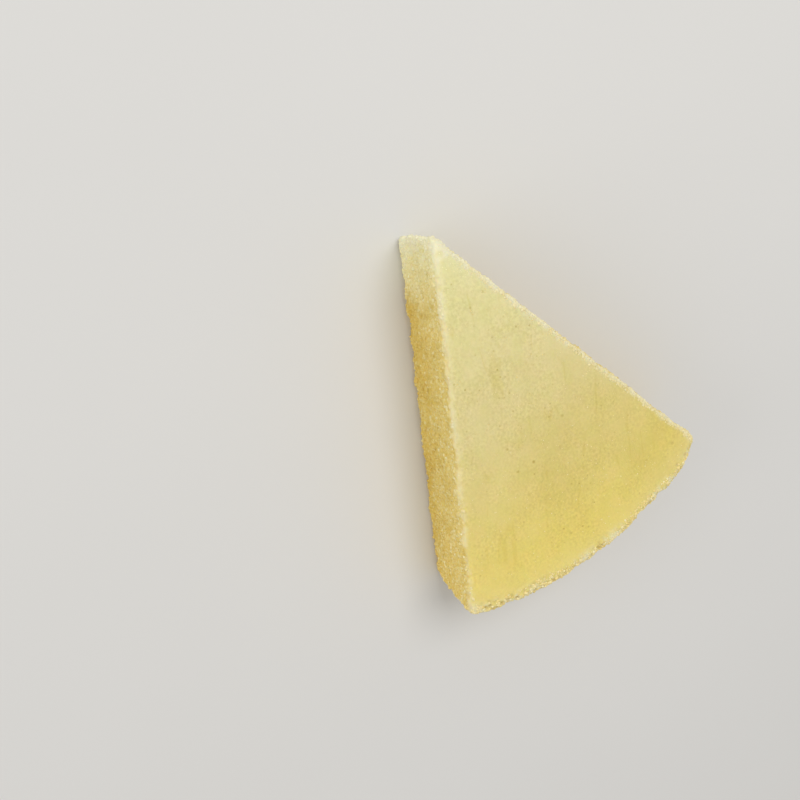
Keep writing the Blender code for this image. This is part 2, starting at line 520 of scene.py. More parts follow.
def skin_shade(places, gaps):
    """How far the skin darkens: most in a broad belt, and on to the outer corner at +Y."""
    belt = rise(gaps.radius, *BELT_START)
    past_end = rise(gaps.radius, *BELT_END) * (1.0 - rise(gaps.angle, *END_ANGLES))
    across = BELT_LEAST + BELT_GAIN * rise(gaps.angle, *BELT_ANGLES)
    shade = belt * (1.0 - BELT_END_LOSS * past_end) * across
    return np.clip(shade * uneven(places, 1.0, SHADE_WAVES), 0.0, SHADE_MOST)


# The finer bites, as shares of the larger ones, and both seeds.
FINE_BITE_STRENGTH = 0.5
FINE_BITE_SIZE = 0.45
BITE_SEED = 61
FINE_BITE_SEED = 62


def bites(places, gaps):
    """How near each place is to the outer rim, and how far the rim is bitten in there."""
    size = sizes()
    near = fade(np.abs(gaps.outer), size.outer_rim) * fade(gaps.top, size.outer_rim)
    waves = (
        (1.0, size.bite_size, BITE_SEED),
        (FINE_BITE_STRENGTH, size.bite_size * FINE_BITE_SIZE, FINE_BITE_SEED),
    )
    return near, size.bite_depth * np.clip(uneven(places, 0.0, waves), 0.0, 1.0) * near


# Upright parts of the normals at the sides and the base.
SIDE_UPRIGHT = 0.55
SIDE_SPAN = 0.35
BASE_UPRIGHT = -0.9
BASE_EDGE_UPRIGHT = -0.5
BASE_SNAP = 0.0003
# How open the crumb is along the outer rim.
OPEN_WAVES = ((0.75, 0.0055, 8), (0.35, 0.0016, 9))
OPEN_MIDDLE = 0.55
OPEN_STRENGTH = 1.6
# How crumbly wear makes a rim, and how far it rubs all crumb down.
RIM_CRUMBLE = (0.8, 0.25)
RUB_DOWN = 0.2
PIT_DEPTH = 0.00050
BITE_DROP = 0.5
# Heights above the base over which the relief's upright part and its strength set in.
FOOT_TURN = (0.0004, 0.0016)
FOOT_RELIEF = (0.0, 0.0014)
FOOT_LEAST = 0.35
FOOT_GAIN = 0.65


def finish_surface(mesh):
    """Adds the crumb and the skin to the smooth slice, and keeps its base flat."""
    places = read_vectors(mesh.vertices, "co")
    normals = read_vectors(mesh.vertex_normals, "vector")
    upright = normals[:, 2]
    gaps = SliceGaps(places)
    ones = np.ones(len(places))

    top_share = np.clip((upright - SIDE_UPRIGHT) / SIDE_SPAN, 0.0, 1.0)
    side = (1.0 - top_share) * (upright > BASE_UPRIGHT)
    near, bite = bites(places, gaps)
    patchy = np.clip(uneven(places, OPEN_MIDDLE, OPEN_WAVES), 0.0, 1.0)
    open_share = np.clip(side + near * patchy * OPEN_STRENGTH, 0.0, 1.0)
    base = (places[:, 2] < BASE_SNAP) & (upright < BASE_EDGE_UPRIGHT)
    worn_and_lit = wear_and_highlight_share(places, gaps)
    pits = rim_pits(places, gaps)
    height, hollow = crumb_relief(places)
    values = {
        SIDE_SHARE: open_share,
        HOLLOW_SHADE: hollow * open_share,
        RIM_WEAR_AND_HIGHLIGHT: worn_and_lit,
        PIT_SHADE: pits,
        BASE_SHARE: base,
        OUTER_PALLOR: outer_pallor(places, gaps),
        SKIN_SHADE: skin_shade(places, gaps),
    }

    crumbly = np.maximum(open_share, gaps.by_half(*RIM_CRUMBLE) * worn_and_lit)
    crumbly = crumbly * (1.0 - RUB_DOWN * worn_and_lit)
    push = height * crumbly + skin_relief(places) * (1.0 - crumbly) - PIT_DEPTH * pits
    push = push * (FOOT_LEAST + FOOT_GAIN * rise(gaps.foot, *FOOT_RELIEF))
    level = normals * np.stack((ones, ones, rise(gaps.foot, *FOOT_TURN)), 1)
    outward = np.stack((np.cos(gaps.angle), np.sin(gaps.angle), BITE_DROP * ones), 1)
    places = places + level * push[:, None] - outward * bite[:, None]
    places[base, 2] = 0.0
    places[:, 2] = np.clip(places[:, 2], 0.0, None)
    set_vertex_places(mesh, places)
    for name, value in values.items():
        store_value(mesh, name, value)


# Soft changes of tint: the width and detail of the waves, and the noise and tint at both ends.
TintWaves = namedtuple("TintWaves", "width detail low high dark pale")
SAND = TintWaves(0.0008, 3.0, 0.34, 0.66, (0.913, 0.902, 0.855), (1.050, 1.054, 1.072))
SKIN_HUE = TintWaves(0.0035, 1.0, 0.35, 0.65, (0.985, 1.0, 0.965), (1.012, 0.998, 1.025))
SKIN_BLOTCH = TintWaves(0.0060, 3.0, 0.32, 0.68, (0.975, 0.975, 0.94), (1.02, 1.02, 1.05))
CRUMB_BLOTCH = TintWaves(0.0065, 2.0, 0.34, 0.66, (0.945, 0.935, 0.88), (1.04, 1.045, 1.09))
GRAIN_MOTTLE = TintWaves(0.0005, 2.0, 0.35, 0.65, (0.955, 0.948, 0.92), (1.035, 1.035, 1.05))

# Patches: the width and detail of the waves, and the noise where one starts and is whole.
Patches = namedtuple("Patches", "width detail start whole")
ROUGH_SKIN = Patches(0.0075, 2.0, 0.40, 0.60)
FOOT_SHADE_PATCHES = Patches(0.0100, 1.0, 0.36, 0.62)
HAIRLINE_PATCHES = Patches(0.0090, 1.0, 0.52, 0.60)

# Round dots, one in a cell: the cell's width, the dot's edge and core as shares of it, and the
# random numbers at which a dot starts to show and is whole.
Dots = namedtuple("Dots", "width edge core start whole")
LARGE_DOTS = Dots(0.0050, 0.125, 0.050, 0.40, 0.85)
SMALL_DOTS = Dots(0.0017, 0.200, 0.080, 0.40, 0.85)
PALE_SPECKS = Dots(0.0085, 0.075, 0.030, 0.45, 0.80)

# Wavering places along X: the width and detail of the waves, and how far they push.
Waver = namedtuple("Waver", "width detail push")
SKIN_WAVER = Waver(0.030, 2.0, 0.020)
TIP_WAVER = Waver(0.0080, 3.0, 0.024)

# The finest relief: the width and detail of its waves, its strength and its depth.
Bump = namedtuple("Bump", "width detail strength depth")
BODY_BUMP = Bump(0.00045, 2.0, 0.35, 0.00025)
GRAIN_BUMP = Bump(0.0003, 2.0, 0.3, 0.0001)

# Moist steamed crumb is matt with a faint sheen, and light soaks a little way into it.
MATT_CRUMB = {"Roughness": 0.78, "Specular IOR Level": 0.28}
SOFT_CRUMB = {
    "Subsurface Weight": 0.4,
    "Subsurface Radius": (1.0, 0.75, 0.30),
    "Subsurface Scale": 0.0014,
}
MATT_TABLE = {"Roughness": 0.9, "Specular IOR Level": 0.2}


class MaterialSheet:
    """A new material, with short ways to add nodes that read the object's own coordinates."""

    def __init__(self, name):
        self.material = bpy.data.materials.new(name)
        self.material.use_nodes = True
        self.nodes = self.material.node_tree.nodes
        self.links = self.material.node_tree.links
        self.shader = self.nodes["Principled BSDF"]
        self.place = self.nodes.new("ShaderNodeTexCoord").outputs["Object"]

    def feed(self, target, value):
        """Gives an input a linked socket, a number or a plain colour."""
        if isinstance(value, bpy.types.NodeSocket):
            self.links.new(value, target)
        elif isinstance(value, float):
            target.default_value = value
        else:
            target.default_value = (*value, 1.0)

    def reader(self, kind, place, **settings):
        """The outputs of a new node that reads places, such as a texture."""
        node = self.nodes.new(kind)
        for name, value in settings.items():
            node.inputs[name].default_value = value
        self.links.new(place, node.inputs["Vector"])
        return node.outputs

    def axis(self, name):
        return self.reader("ShaderNodeSeparateXYZ", self.place)[name]

    def mesh_value(self, name):
        node = self.nodes.new("ShaderNodeAttribute")
        node.attribute_name = name
        return node.outputs["Fac"]

    def noise(self, width, detail, place=None):
        place = self.place if place is None else place
        return self.reader("ShaderNodeTexNoise", place, Scale=1.0 / width, Detail=detail)["Fac"]

    def cells(self, width):
        """Scattered cells: the distance from the nearest middle, and the cell's own number."""
        outputs = self.reader("ShaderNodeTexVoronoi", self.place, Scale=1.0 / width)
        return outputs["Distance"], outputs["Color"]

    def ramp(self, value, low, high):
        """Stretches a value so that low becomes 0 and high becomes 1."""
        stretch = self.nodes.new("ShaderNodeMapRange")
        stretch.inputs["From Min"].default_value = low
        stretch.inputs["From Max"].default_value = high
        stretch.clamp = True
        self.links.new(value, stretch.inputs["Value"])
        return stretch.outputs["Result"]

    def calculate(self, kind, first, second=0.0):
        node = self.nodes.new("ShaderNodeMath")
        node.operation = kind
        self.feed(node.inputs[0], first)
        self.feed(node.inputs[1], second)
        return node.outputs[0]

    def times(self, first, second):
        return self.calculate("MULTIPLY", first, second)

    def mix(self, share, first, second, blend="MIX"):
        """Mixes two colours by a share. Each of the three is a socket or a plain value."""
        mix = self.nodes.new("ShaderNodeMix")
        mix.data_type = "RGBA"
        mix.blend_type = blend
        self.feed(mix.inputs[0], share)
        self.feed(mix.inputs[6], first)
        self.feed(mix.inputs[7], second)
        return mix.outputs[2]

    def multiplied(self, colour, tint):
        return self.mix(1.0, colour, tint, "MULTIPLY")

    def tinted(self, share, colour, tint):
        """The colour, multiplied by the tint as far as the share says."""
        return self.mix(share, colour, self.multiplied(colour, tint))

    def tint_waves(self, waves):
        share = self.ramp(self.noise(waves.width, waves.detail), waves.low, waves.high)
        return self.mix(share, waves.dark, waves.pale)

    def patches(self, patches):
        return self.ramp(self.noise(patches.width, patches.detail), patches.start, patches.whole)

    def dots(self, dots):
        distance, number = self.cells(dots.width)
        shape = self.ramp(distance, dots.edge, dots.core)
        return self.times(shape, self.ramp(number, dots.start, dots.whole))

    def wavering_x(self, waver):
        waves = self.times(self.noise(waver.width, waver.detail), waver.push)
        return self.calculate("ADD", self.axis("X"), waves)

    def bump(self, kind, height):
        bump = self.nodes.new("ShaderNodeBump")
        bump.inputs["Strength"].default_value = kind.strength
        bump.inputs["Distance"].default_value = kind.depth
        self.links.new(height, bump.inputs["Height"])
        self.links.new(bump.outputs["Normal"], self.shader.inputs["Normal"])

    def surface(self, colour, **settings):
        self.feed(self.shader.inputs["Base Color"], colour)
        for name, value in settings.items():
            self.shader.inputs[name].default_value = value


# The pale tip of the cuts, partly the crumb's own paler tone and partly painted glow from a bright
# neighbour: where it ends along X, and where its foot pales along Z, which is painted light.
TIP_END = (-0.041, -0.018)
LIT_TIP_FOOT = (0.018, 0.002)
LIT_TIP_FOOT_STRENGTH = 0.35


def cut_colours(sheet):
    """The crumb's colour and its palest grains' colour, both paler at the tip, partly by painted
    light.
    """
    colour = colours()
    past_tip = sheet.ramp(sheet.wavering_x(TIP_WAVER), *TIP_END)
    foot = sheet.times(sheet.ramp(sheet.axis("Z"), *LIT_TIP_FOOT), LIT_TIP_FOOT_STRENGTH)
    tip = sheet.mix(foot, colour.tip_crumb_and_light, colour.tip_grain_and_light)
    cut_colour = sheet.mix(past_tip, tip, colour.crumb)
    palest = sheet.mix(past_tip, colour.tip_grain_and_light, colour.grain)
    return cut_colour, palest


# Painted light: the outer end of the cuts is brighter than their shadowed middle.
LIT_OUTER_END = (0.005, 0.045)
PAINTED_LIGHT_TINT = (1.07, 1.06, 1.06)
# Painted shade with golden bounce light on the crumb toward the foot: its least share, what patches
# add, and where it sets in.
FOOT_SHADE_TINT = (0.90, 0.81, 0.54)
FOOT_SHADE_LEAST = 0.40
FOOT_SHADE_GAIN = 0.60
FOOT_SHADE_Z = (0.021, 0.003)
FOOT_SHADE_X = (-0.042, -0.034)
# More of this painted shade, with reflected light, in a patch near the tip where a neighbouring
# slice lay.
SHADOW_NOOK_START = (-0.042, -0.031)
SHADOW_NOOK_END = (-0.012, -0.026)
SHADOW_NOOK_Z = (0.019, 0.008)
SHADOW_NOOK_STRENGTH = 0.35


def lit_crumb(sheet, crumb):
    """Paints light onto the crumb toward the outer end, and shade with golden bounce light in
    patches toward the foot and near the tip.
    """
    x, z = sheet.axis("X"), sheet.axis("Z")
    crumb = sheet.tinted(sheet.ramp(x, *LIT_OUTER_END), crumb, PAINTED_LIGHT_TINT)
    crumb = sheet.multiplied(crumb, sheet.tint_waves(CRUMB_BLOTCH))
    patches = sheet.times(sheet.patches(FOOT_SHADE_PATCHES), FOOT_SHADE_GAIN)
    share = sheet.calculate("ADD", patches, FOOT_SHADE_LEAST)
    share = sheet.times(share, sheet.ramp(z, *FOOT_SHADE_Z))
    share = sheet.times(share, sheet.ramp(x, *FOOT_SHADE_X))
    shadow_nook = sheet.times(sheet.ramp(x, *SHADOW_NOOK_START), sheet.ramp(x, *SHADOW_NOOK_END))
    shadow_nook = sheet.times(shadow_nook, sheet.ramp(z, *SHADOW_NOOK_Z))
    share = sheet.calculate("ADD", share, sheet.times(shadow_nook, SHADOW_NOOK_STRENGTH))
    return sheet.tinted(share, crumb, FOOT_SHADE_TINT)


# Short hairlines in the skin, drawn out along their own direction.
HAIRLINE_TURN = math.radians(24.0)
HAIRLINE_SQUEEZE = 0.16
HAIRLINE_LANE = 0.0060
MIDDLE_NOISE = 0.5
HAIRLINE_EDGES = (0.028, 0.004)
HAIRLINE_STRENGTH = 0.40
HAIRLINE_TINT = (0.90, 0.86, 0.62)


def hairlines(sheet):
    """Thin lines that run askew along the top, in short stretches."""
    turn, squeeze = (0.0, 0.0, HAIRLINE_TURN), (HAIRLINE_SQUEEZE, 1.0, 1.0)
    turned = sheet.reader("ShaderNodeMapping", sheet.place, Rotation=turn)["Vector"]
    drawn_out = sheet.reader("ShaderNodeMapping", turned, Scale=squeeze)["Vector"]
    lane = sheet.noise(HAIRLINE_LANE, 1.0, drawn_out)
    apart = sheet.calculate("ABSOLUTE", sheet.calculate("SUBTRACT", lane, MIDDLE_NOISE))
    line = sheet.times(sheet.ramp(apart, *HAIRLINE_EDGES), sheet.patches(HAIRLINE_PATCHES))
    return sheet.times(line, HAIRLINE_STRENGTH)


# The X between which each of the skin's colours turns into the next.
TIP_TO_MIDDLE = (-0.035, 0.005)
MIDDLE_TO_OUTER = (0.005, 0.056)
# Roughness at which the sand would be gone and at which it is whole.
SAND_RAMP = (-0.60, 1.0)
LARGE_DOT_STRENGTH = 0.85
DOT_TINT = (0.71, 0.63, 0.39)
SPECK_TINT = (1.06, 1.07, 1.20)


def skin_colour(sheet):
    """The top skin: pale at the tip, sandy, with brown dots, pale specks and hairlines."""
    colour = colours()
    along = sheet.wavering_x(SKIN_WAVER)
    skin = sheet.mix(sheet.ramp(along, *TIP_TO_MIDDLE), colour.tip_skin, colour.middle_skin)
    skin = sheet.mix(sheet.ramp(along, *MIDDLE_TO_OUTER), skin, colour.outer_skin)
    rough = sheet.patches(ROUGH_SKIN)
    skin = sheet.tinted(sheet.ramp(rough, *SAND_RAMP), skin, sheet.tint_waves(SAND))
    skin = sheet.multiplied(skin, sheet.tint_waves(SKIN_HUE))
    skin = sheet.multiplied(skin, sheet.tint_waves(SKIN_BLOTCH))
    for dots, strength in ((LARGE_DOTS, LARGE_DOT_STRENGTH), (SMALL_DOTS, rough)):
        skin = sheet.tinted(sheet.times(sheet.dots(dots), strength), skin, DOT_TINT)
    skin = sheet.tinted(sheet.dots(PALE_SPECKS), skin, SPECK_TINT)
    return sheet.tinted(hairlines(sheet), skin, HAIRLINE_TINT)


BASE_TINT = (1.0, 0.985, 0.90)
# Painted shade in the underside's fine open pores: their cells, edges, strength and tint.
BASE_PORE_CELL = 0.0019
BASE_PORE_EDGES = (0.30, 0.14)
BASE_PORE_SHADE_STRENGTH = 0.8
BASE_PORE_SHADE_TINT = (0.78, 0.68, 0.45)


def base_colour(sheet, skin):
    """The skin's colour with painted shade in fine open pores, for the underside."""
    distance, _ = sheet.cells(BASE_PORE_CELL)
    pores = sheet.times(sheet.ramp(distance, *BASE_PORE_EDGES), BASE_PORE_SHADE_STRENGTH)
    plain = sheet.multiplied(skin, BASE_TINT)
    return sheet.mix(pores, plain, sheet.multiplied(skin, BASE_PORE_SHADE_TINT))


# Single grains in the crumb: their width, and the random numbers between which they pale.
GRAIN_CELL = 0.0011
GRAIN_CELL_TONES = (0.30, 1.6)
# Painted shade in the seam lines between the finer grains.
SEAM_CELL = 0.00075
SEAM_EDGES = (0.35, 0.75)
SEAM_SHADE_STRENGTH = 0.38


def crumb_colour(sheet):
    """The cut crumb: grains of many tones, with painted shade in the pores and in the seam lines
    between them.
    """
    _, number = sheet.cells(GRAIN_CELL)
    cut_colour, palest = cut_colours(sheet)
    crumb = sheet.mix(sheet.ramp(number, *GRAIN_CELL_TONES), cut_colour, palest)
    # Painted shade: the crumb darkened by the pore tint in its hollows.
    deep = sheet.multiplied(cut_colour, colours().pore_shade)
    crumb = sheet.mix(sheet.mesh_value(HOLLOW_SHADE), crumb, deep)
    distance, _ = sheet.cells(SEAM_CELL)
    seam_shade = sheet.times(sheet.ramp(distance, *SEAM_EDGES), SEAM_SHADE_STRENGTH)
    return lit_crumb(sheet, sheet.mix(seam_shade, crumb, deep))


SHADE_TINT = (0.93, 0.92, 0.895)
PALLOR_STRENGTH = 0.70
WEAR_AND_HIGHLIGHT_STRENGTH = 0.90
# Domes in the finest relief of the open crumb.
DOME_CELL = 0.00075
DOME_BUMP = 1.8


def crumb_material():
    sheet = MaterialSheet("millet_crumb_and_skin")
    colour = colours()
    skin = skin_colour(sheet)
    skin = sheet.mix(sheet.mesh_value(BASE_SHARE), skin, base_colour(sheet, skin))
    skin = sheet.tinted(sheet.mesh_value(SKIN_SHADE), skin, SHADE_TINT)
    surface = sheet.mix(sheet.mesh_value(SIDE_SHARE), skin, crumb_colour(sheet))
    # The whitish outer band, then the rims' wear and painted highlight.
    for value, strength in ((OUTER_PALLOR, PALLOR_STRENGTH), (RIM_WEAR_AND_HIGHLIGHT, WEAR_AND_HIGHLIGHT_STRENGTH)):
        surface = sheet.mix(sheet.times(sheet.mesh_value(value), strength), surface, colour.worn_and_lit)
    # Painted shade in the small pits of the outer rim.
    surface = sheet.mix(sheet.mesh_value(PIT_SHADE), surface, colour.pit)
    sheet.surface(surface, **MATT_CRUMB, **SOFT_CRUMB)

    distance, _ = sheet.cells(DOME_CELL)
    domes = sheet.times(sheet.times(distance, sheet.mesh_value(SIDE_SHARE)), DOME_BUMP)
    waves = sheet.noise(BODY_BUMP.width, BODY_BUMP.detail)
    sheet.bump(BODY_BUMP, sheet.calculate("SUBTRACT", waves, domes))
    return sheet.material


# The tone at which a grain has the crumb's own colour.
CRUMB_TONE = 0.4


def grain_material():
    sheet = MaterialSheet("millet_grains")
    colour = colours()
    cut_colour, palest = cut_colours(sheet)
    tone = sheet.mesh_value(GRAIN_TONE)
    # The dark end of the grains' tones is the pores' painted shade.
    deep = sheet.multiplied(cut_colour, colour.pore_shade)
    surface = sheet.mix(sheet.ramp(tone, 0.0, CRUMB_TONE), deep, cut_colour)
    surface = sheet.mix(sheet.ramp(tone, CRUMB_TONE, 1.0), surface, palest)
    surface = lit_crumb(sheet, surface)
    # The rims' wear and painted highlight, also on the grains.
    surface = sheet.mix(sheet.mesh_value(RIM_WEAR_AND_HIGHLIGHT), surface, colour.worn_and_lit)
    surface = sheet.multiplied(surface, sheet.tint_waves(GRAIN_MOTTLE))
    sheet.surface(surface, **MATT_CRUMB)
    sheet.bump(GRAIN_BUMP, sheet.noise(GRAIN_BUMP.width, GRAIN_BUMP.detail))
    return sheet.material


SOFTEN_FACTOR = 0.5
SOFTEN_ROUNDS = 3


def slice_piece():
    """The slice's body, made of the measured solid with the crumb's own fine relief."""
    obj = add_object(SLICE_NAME, welded_solid())
    remesh = obj.modifiers.new("even_grid", "REMESH")
    remesh.mode = "VOXEL"
    remesh.voxel_size = sizes().skin_grid
    smooth = obj.modifiers.new("soften", "SMOOTH")
    smooth.factor = SOFTEN_FACTOR
    smooth.iterations = SOFTEN_ROUNDS
    apply_modifiers(obj)
    split_side_faces(obj.data)
    finish_surface(obj.data)
    obj.data.shade_smooth()
    obj.data.materials.append(crumb_material())
    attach(obj, BODY)
    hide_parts(SOLID_NODE)
    return obj


TRIES_PER_PLACE = 6
LEAST_AREA = 1e-12


def scatter_places(mesh, wanted, weight, chance, spread):
    """Random places on a mesh, crowded where the weight is high, at most one in each cell."""
    mesh.calc_loop_triangles()
    count = len(mesh.loop_triangles)
    corners = np.empty(count * 3, np.int32)
    mesh.loop_triangles.foreach_get("vertices", corners)
    corners = corners.reshape(-1, 3)
    places = read_vectors(mesh.vertices, "co")
    normals = read_vectors(mesh.vertex_normals, "vector")
    a, b, c = (places[corners[:, k]] for k in range(3))
    cross = np.cross(b - a, c - a)
    area = np.linalg.norm(cross, axis=1)
    middle = (a + b + c) / 3.0
    facing = cross / np.maximum(area, LEAST_AREA)[:, None]
    share = area * weight(middle, facing)
    tries = wanted * TRIES_PER_PLACE
    picks = chance.choice(count, size=tries, p=share / share.sum())
    u, v = chance.random((2, tries))
    flip = u + v > 1.0
    u, v = np.where(flip, 1 - u, u), np.where(flip, 1 - v, v)
    spot = a[picks] + (b - a)[picks] * u[:, None] + (c - a)[picks] * v[:, None]
    normal = normals[corners[picks]].mean(axis=1)
    normal /= np.linalg.norm(normal, axis=1)[:, None]
    cells = np.floor(spot / spread).astype(int)
    first = np.sort(np.unique(cells, axis=0, return_index=True)[1])[:wanted]
    return spot[first], normal[first]


# Each kind of grain: its piece's name and seed, the width of the cells that hold one each, the
# least radius, what is added at most and how rare that is, how deep it sinks in radii, the
# rounds of division of its ball, and how unevenly it is squeezed.
Grains = namedtuple("Grains", "name seed spread least extra rarity sink rounds squeeze")
SIDE_GRAINS = Grains("side_grains", 4, 0.00100, 0.00030, 0.00034, 1.3, 0.30, 1, 0.25)
RIM_CRUMBS = Grains("rim_crumbs", 9, 0.0005, 0.00022, 0.00032, 2, 0.50, 2, 0.35)
SKIN_GRAINS = Grains("skin_grains", 15, 0.0004, 0.00011, 0.00018, 3, 0.55, 1, 0.25)

# Tones run from 0, dark with the pores' painted shade, to 1, pale. Grains darker than the half tone
# sink deeper.
TONE_MIDDLE = 0.43
TONE_SPREAD = 0.25
HALF_TONE = 0.5
SINK_OF_DARK = 1.1
GRAIN_LUMPS = 0.13
LUMP_LIMIT = 1.5


def scatter_grains(kind, wanted, weight, chance):
    mesh = bpy.data.objects[SLICE_NAME].data
    spots, normals = scatter_places(mesh, wanted, weight, chance, kind.spread)
    radii = kind.least + kind.extra * chance.random(len(spots)) ** kind.rarity
    return spots, normals, radii


def grain_tones(places, chance):
    """How pale each grain is, mostly near the crumb's own colour."""
    return chance.normal(TONE_MIDDLE, TONE_SPREAD, len(places)).clip(0.0, 1.0)


def grain_shape(rounds):
    """Points and triangles of a unit ball, rounder with each round of division."""
    work = bmesh.new()
    bmesh.ops.create_icosphere(work, subdivisions=rounds, radius=1.0)
    points = np.array([vertex.co[:] for vertex in work.verts])
    faces = np.array([[vertex.index for vertex in face.verts] for face in work.faces])
    work.free()
    return points, faces


def grain_piece(kind, spots, normals, radii, tones, worn_and_lit, chance):
    """Many uneven grains as one mesh, each sunk into the crumb, dark ones deeper."""
    points, faces = grain_shape(kind.rounds)
    all_points, all_faces = [], []
    depths = kind.sink + SINK_OF_DARK * np.clip(HALF_TONE - tones, 0.0, HALF_TONE)
    for number, (spot, normal, radius, depth) in enumerate(zip(spots, normals, radii, depths)):
        axis = Vector(chance.normal(size=3)).normalized()
        turn = Quaternion(axis, chance.uniform(0.0, math.tau)).to_matrix()
        stretch = 1.0 + kind.squeeze * chance.uniform(-1.0, 1.0, 3)
        lumps = chance.normal(size=(len(points), 1)).clip(-LUMP_LIMIT, LUMP_LIMIT)
        ball = points * (1.0 + GRAIN_LUMPS * lumps) * stretch * radius
        all_points.append(ball @ np.array(turn) + spot - normal * radius * depth)
        all_faces.append(faces + number * len(points))
    mesh = bpy.data.meshes.new(kind.name)
    mesh.from_pydata(np.concatenate(all_points).tolist(), [], np.concatenate(all_faces).tolist())
    mesh.shade_smooth()
    store_value(mesh, GRAIN_TONE, np.repeat(tones, len(points)))
    store_value(mesh, RIM_WEAR_AND_HIGHLIGHT, np.repeat(worn_and_lit, len(points)))
    mesh.materials.append(grain_material())
    obj = add_object(kind.name, mesh)
    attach(obj, BODY)
    return obj


# Where the sides are free for grains, and how many radii above the base a grain stays.
SIDE_LEAN = 0.75
BASE_CLEARANCE = 0.0009
TOP_CLEARANCE = (0.0012, 0.0020)
GRAIN_CLEARANCE = 1.3


def on_sides(middle, facing):
    gaps = SliceGaps(middle)
    below_rim = gaps.top > gaps.by_half(*TOP_CLEARANCE)
    return (np.abs(facing[:, 2]) < SIDE_LEAN) * (gaps.foot >= BASE_CLEARANCE) * below_rim


def side_grain_piece():
    chance = np.random.default_rng(SIDE_GRAINS.seed)
    spots, normals, radii = scatter_grains(SIDE_GRAINS, sizes().side_grains, on_sides, chance)
    spots[:, 2] = np.maximum(spots[:, 2], radii * GRAIN_CLEARANCE)
    tones = grain_tones(spots, chance)
    worn_and_lit = wear_and_highlight_share(spots, SliceGaps(spots))
    return grain_piece(SIDE_GRAINS, spots, normals, radii, tones, worn_and_lit, chance)


# Crumbs in clumps along the outer rim, and on the arrises of the cuts.
BAND_MIDDLE = 0.0008
BAND_REACH = 0.0034
CLUMP_WAVES = ((1.3, 0.006, 91),)
CLUMP_MIDDLE = 0.40
CLUMP_LEAST = 0.06
ARRIS_REACH = (0.0023, 0.0014)
ARRIS_CROWD = (0.75, 0.03)
ARRIS_START = (0.004, 0.016)
OPEN_PIT = 0.25
# How pale they are: on the arris of a cut, where the paleness is partly painted highlight, in the
# outer band and everywhere.
ARRIS_PALLOR = 0.75
ARRIS_PALLOR_REACH = 0.0040
ARRIS_PALLOR_SPREAD = 0.3
BAND_PALLOR = 0.50
LEAST_PALLOR = 0.10
MORE_PALLOR = 0.15


def on_worn_rims(middle, facing):
    gaps = SliceGaps(middle)
    band = fade(np.abs(gaps.outer - BAND_MIDDLE), BAND_REACH) * fade(gaps.top, BAND_REACH)
    clumps = np.clip(uneven(middle, CLUMP_MIDDLE, CLUMP_WAVES), CLUMP_LEAST, 1.0)
    arris = fade(np.hypot(gaps.cut, gaps.top), gaps.by_half(*ARRIS_REACH))
    along_cuts = arris * gaps.by_half(*ARRIS_CROWD) * rise(gaps.radius, *ARRIS_START)
    return (band * clumps + along_cuts) * (rim_pits(middle, gaps) < OPEN_PIT)


def rim_crumb_piece():
    chance = np.random.default_rng(RIM_CRUMBS.seed)
    spots, normals, radii = scatter_grains(RIM_CRUMBS, sizes().rim_crumbs, on_worn_rims, chance)
    tones = grain_tones(spots, chance)
    gaps = SliceGaps(spots)
    on_arris = ARRIS_PALLOR * fade(gaps.cut, ARRIS_PALLOR_REACH)
    on_arris = on_arris * chance.random(len(spots)) ** ARRIS_PALLOR_SPREAD
    everywhere = LEAST_PALLOR + MORE_PALLOR * chance.random(len(spots))
    in_band = BAND_PALLOR * outer_pallor(spots, gaps)
    worn_and_lit = np.max((wear_and_highlight_share(spots, gaps), in_band, on_arris, everywhere), axis=0)
    return grain_piece(RIM_CRUMBS, spots, normals, radii, tones, worn_and_lit, chance)


# How crowded tiny grains are on the top and on its pale rims of wear and painted highlight, and how
# far these look up.
TOP_CROWD = 0.10
TOP_UPRIGHT = 0.9
TOP_DEPTH = 0.004
RIM_CROWD = (5.0, 1.2)
RIM_UPRIGHT = 0.2
# Their tone starts higher, and they have at least this much wear; both pale them, partly as painted
# light against their dark contact shadows.
SKIN_TONE_LEAST = 0.40
SKIN_TONE_GAIN = 0.6
SKIN_LEAST_WEAR_AND_LIGHT = 0.12


def on_top_and_rims(middle, facing):
    gaps = SliceGaps(middle)
    skin = TOP_CROWD * (facing[:, 2] > TOP_UPRIGHT) * (gaps.top < TOP_DEPTH)
    rims = gaps.by_half(*RIM_CROWD) * wear_and_highlight_share(middle, gaps)
    return skin + rims * (facing[:, 2] > RIM_UPRIGHT)


def skin_grain_piece():
    chance = np.random.default_rng(SKIN_GRAINS.seed)
    wanted = sizes().skin_grains
    spots, normals, radii = scatter_grains(SKIN_GRAINS, wanted, on_top_and_rims, chance)
    tones = np.clip(SKIN_TONE_LEAST + SKIN_TONE_GAIN * grain_tones(spots, chance), 0.0, 1.0)
    worn_and_lit = np.maximum(wear_and_highlight_share(spots, SliceGaps(spots)), SKIN_LEAST_WEAR_AND_LIGHT)
    return grain_piece(SKIN_GRAINS, spots, normals, radii, tones, worn_and_lit, chance)


TABLE_HALF_WIDTH = 3.0
TABLE_SHADE = 0.975
TABLE_CLOUD_WIDTH = 0.08
TABLE_CLOUD_DETAIL = 2.0


def table_material():
    sheet = MaterialSheet("pale_table")
    tone = tuple(table_settings().table_colour)
    darker = tuple(TABLE_SHADE * part for part in tone)
    clouds = sheet.noise(TABLE_CLOUD_WIDTH, TABLE_CLOUD_DETAIL)
    sheet.surface(sheet.mix(clouds, darker, tone), **MATT_TABLE)
    return sheet.material


def add_table():
    mesh = bpy.data.meshes.new("table_top")
    work = bmesh.new()
    bmesh.ops.create_grid(work, x_segments=1, y_segments=1, size=TABLE_HALF_WIDTH)
    work.to_mesh(mesh)
    work.free()
    mesh.materials.append(table_material())
    add_object("table_top", mesh)


